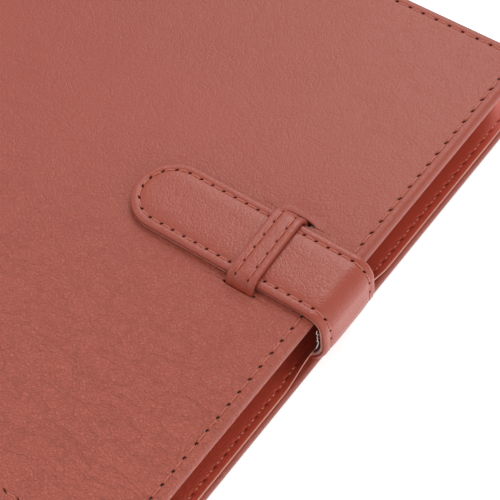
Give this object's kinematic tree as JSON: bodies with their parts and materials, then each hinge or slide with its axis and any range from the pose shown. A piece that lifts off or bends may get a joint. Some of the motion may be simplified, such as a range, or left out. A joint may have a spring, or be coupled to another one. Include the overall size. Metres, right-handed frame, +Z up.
{
  "type": "scrapbook album",
  "caption": "Landscape scrapbook album with stitched leather covers over board, post-bound black card leaves, and a closing strap that passes under a leather keeper.",
  "frame": {"origin": "centre of the bounding box in X and Y, at the underside of the back cover", "axes": "+X points from the spine to the fore-edge with the strap, +Y to the head of the album, +Z up through the closed covers"},
  "size_m": [0.3053, 0.227, 0.0317],
  "materials": {
    "cover_leather": "satin terracotta leather with a fine pebbled, creased grain",
    "lining_leather": "smoother dark red lining leather",
    "strap_leather": "padded terracotta leather, slightly glossier and redder at the bend",
    "strap_backing": "flat backing leather with a pale cut edge",
    "thread": "waxed thread in the leather's colour",
    "greyboard": "matte grey bookbinding board",
    "page_card": "matte black card, slightly toothy",
    "post_metal": "turned brass, lightly brushed"
  },
  "bodies": {
    "back_cover": {"back_board": "greyboard", "back_skin": "cover_leather", "back_lining": "lining_leather", "back_thread": "thread", "back_joint_skin": "cover_leather", "back_joint_lining": "lining_leather", "strap_base": "strap_leather", "post_barrels": "post_metal", "post_screws": "post_metal", "binding_strip": "cover_leather", "guard_strips": "page_card", "leaf_margins": "page_card"},
    "spine": {"spine_board": "greyboard", "spine_skin": "cover_leather", "spine_lining": "lining_leather", "front_joint_skin": "cover_leather", "front_joint_lining": "lining_leather"},
    "front_cover": {"front_board": "greyboard", "front_skin": "cover_leather", "front_lining": "lining_leather", "front_thread": "thread", "keeper": "cover_leather", "keeper_thread": "thread"},
    "strap_bend": {"strap_bend_face": "strap_leather", "strap_bend_back": "strap_backing", "strap_bend_thread": "thread"},
    "strap_tongue": {"strap_tongue_face": "strap_leather", "strap_tongue_back": "strap_backing", "strap_tongue_thread": "thread"},
    "leaf_01_panel": {"leaf_01": "page_card"},
    "leaf_02_panel": {"leaf_02": "page_card"},
    "leaf_03_panel": {"leaf_03": "page_card"},
    "leaf_04_panel": {"leaf_04": "page_card"},
    "leaf_05_panel": {"leaf_05": "page_card"},
    "leaf_06_panel": {"leaf_06": "page_card"},
    "leaf_07_panel": {"leaf_07": "page_card"},
    "leaf_08_panel": {"leaf_08": "page_card"},
    "leaf_09_panel": {"leaf_09": "page_card"},
    "leaf_10_panel": {"leaf_10": "page_card"},
    "leaf_11_panel": {"leaf_11": "page_card"},
    "leaf_12_panel": {"leaf_12": "page_card"},
    "leaf_13_panel": {"leaf_13": "page_card"},
    "leaf_14_panel": {"leaf_14": "page_card"}
  },
  "joints": [
    {"name": "spine_hinge", "type": "hinge", "parent": "back_cover", "child": "spine", "pos_m": [-0.15083, 0, 0.00162], "axis": [0, -1, 0], "range_deg": [0, 90], "deforming": ["back_joint_skin", "back_joint_lining"]},
    {"name": "front_cover_hinge", "type": "hinge", "parent": "spine", "child": "front_cover", "pos_m": [-0.15083, 0, 0.02498], "axis": [0, -1, 0], "range_deg": [0, 90], "deforming": ["front_joint_skin", "front_joint_lining"]},
    {"name": "strap_bend_hinge", "type": "hinge", "parent": "back_cover", "child": "strap_bend", "pos_m": [0.14825, 0, 0.0054], "axis": [0, 1, 0], "range_deg": [0, 90], "deforming": ["strap_bend_face", "strap_bend_back", "strap_bend_thread"]},
    {"name": "strap_tongue_hinge", "type": "hinge", "parent": "strap_bend", "child": "strap_tongue", "pos_m": [0.14982, 0, 0.02687], "axis": [0, 1, 0], "range_deg": [0, 90], "deforming": ["strap_tongue_face", "strap_tongue_back", "strap_tongue_thread"]},
    {"name": "leaf_01_fold", "type": "hinge", "parent": "back_cover", "child": "leaf_01_panel", "pos_m": [-0.11435, 0, 0.0056], "axis": [0, -1, 0], "range_deg": [0, 6]},
    {"name": "leaf_02_fold", "type": "hinge", "parent": "back_cover", "child": "leaf_02_panel", "pos_m": [-0.11505, 0, 0.0066], "axis": [0, -1, 0], "range_deg": [0, 12]},
    {"name": "leaf_03_fold", "type": "hinge", "parent": "back_cover", "child": "leaf_03_panel", "pos_m": [-0.11575, 0, 0.0076], "axis": [0, -1, 0], "range_deg": [0, 18]},
    {"name": "leaf_04_fold", "type": "hinge", "parent": "back_cover", "child": "leaf_04_panel", "pos_m": [-0.11645, 0, 0.0086], "axis": [0, -1, 0], "range_deg": [0, 24]},
    {"name": "leaf_05_fold", "type": "hinge", "parent": "back_cover", "child": "leaf_05_panel", "pos_m": [-0.11715, 0, 0.0096], "axis": [0, -1, 0], "range_deg": [0, 30]},
    {"name": "leaf_06_fold", "type": "hinge", "parent": "back_cover", "child": "leaf_06_panel", "pos_m": [-0.11785, 0, 0.0106], "axis": [0, -1, 0], "range_deg": [0, 36]},
    {"name": "leaf_07_fold", "type": "hinge", "parent": "back_cover", "child": "leaf_07_panel", "pos_m": [-0.11855, 0, 0.0116], "axis": [0, -1, 0], "range_deg": [0, 42]},
    {"name": "leaf_08_fold", "type": "hinge", "parent": "back_cover", "child": "leaf_08_panel", "pos_m": [-0.11925, 0, 0.0126], "axis": [0, -1, 0], "range_deg": [0, 48]},
    {"name": "leaf_09_fold", "type": "hinge", "parent": "back_cover", "child": "leaf_09_panel", "pos_m": [-0.11995, 0, 0.0136], "axis": [0, -1, 0], "range_deg": [0, 54]},
    {"name": "leaf_10_fold", "type": "hinge", "parent": "back_cover", "child": "leaf_10_panel", "pos_m": [-0.12065, 0, 0.0146], "axis": [0, -1, 0], "range_deg": [0, 60]},
    {"name": "leaf_11_fold", "type": "hinge", "parent": "back_cover", "child": "leaf_11_panel", "pos_m": [-0.12135, 0, 0.0156], "axis": [0, -1, 0], "range_deg": [0, 66]},
    {"name": "leaf_12_fold", "type": "hinge", "parent": "back_cover", "child": "leaf_12_panel", "pos_m": [-0.12205, 0, 0.0166], "axis": [0, -1, 0], "range_deg": [0, 72]},
    {"name": "leaf_13_fold", "type": "hinge", "parent": "back_cover", "child": "leaf_13_panel", "pos_m": [-0.12275, 0, 0.0176], "axis": [0, -1, 0], "range_deg": [0, 78]},
    {"name": "leaf_14_fold", "type": "hinge", "parent": "back_cover", "child": "leaf_14_panel", "pos_m": [-0.12345, 0, 0.0186], "axis": [0, -1, 0], "range_deg": [0, 84]}
  ],
  "couplings": [
    {"joint": "strap_tongue_hinge", "follows": "strap_bend_hinge", "ratio": 1},
    {"joint": "leaf_01_fold", "follows": "front_cover_hinge", "ratio": 0.0667},
    {"joint": "leaf_02_fold", "follows": "front_cover_hinge", "ratio": 0.1333},
    {"joint": "leaf_03_fold", "follows": "front_cover_hinge", "ratio": 0.2},
    {"joint": "leaf_04_fold", "follows": "front_cover_hinge", "ratio": 0.2667},
    {"joint": "leaf_05_fold", "follows": "front_cover_hinge", "ratio": 0.3333},
    {"joint": "leaf_06_fold", "follows": "front_cover_hinge", "ratio": 0.4},
    {"joint": "leaf_07_fold", "follows": "front_cover_hinge", "ratio": 0.4667},
    {"joint": "leaf_08_fold", "follows": "front_cover_hinge", "ratio": 0.5333},
    {"joint": "leaf_09_fold", "follows": "front_cover_hinge", "ratio": 0.6},
    {"joint": "leaf_10_fold", "follows": "front_cover_hinge", "ratio": 0.6667},
    {"joint": "leaf_11_fold", "follows": "front_cover_hinge", "ratio": 0.7333},
    {"joint": "leaf_12_fold", "follows": "front_cover_hinge", "ratio": 0.8},
    {"joint": "leaf_13_fold", "follows": "front_cover_hinge", "ratio": 0.8667},
    {"joint": "leaf_14_fold", "follows": "front_cover_hinge", "ratio": 0.9333}
  ]
}
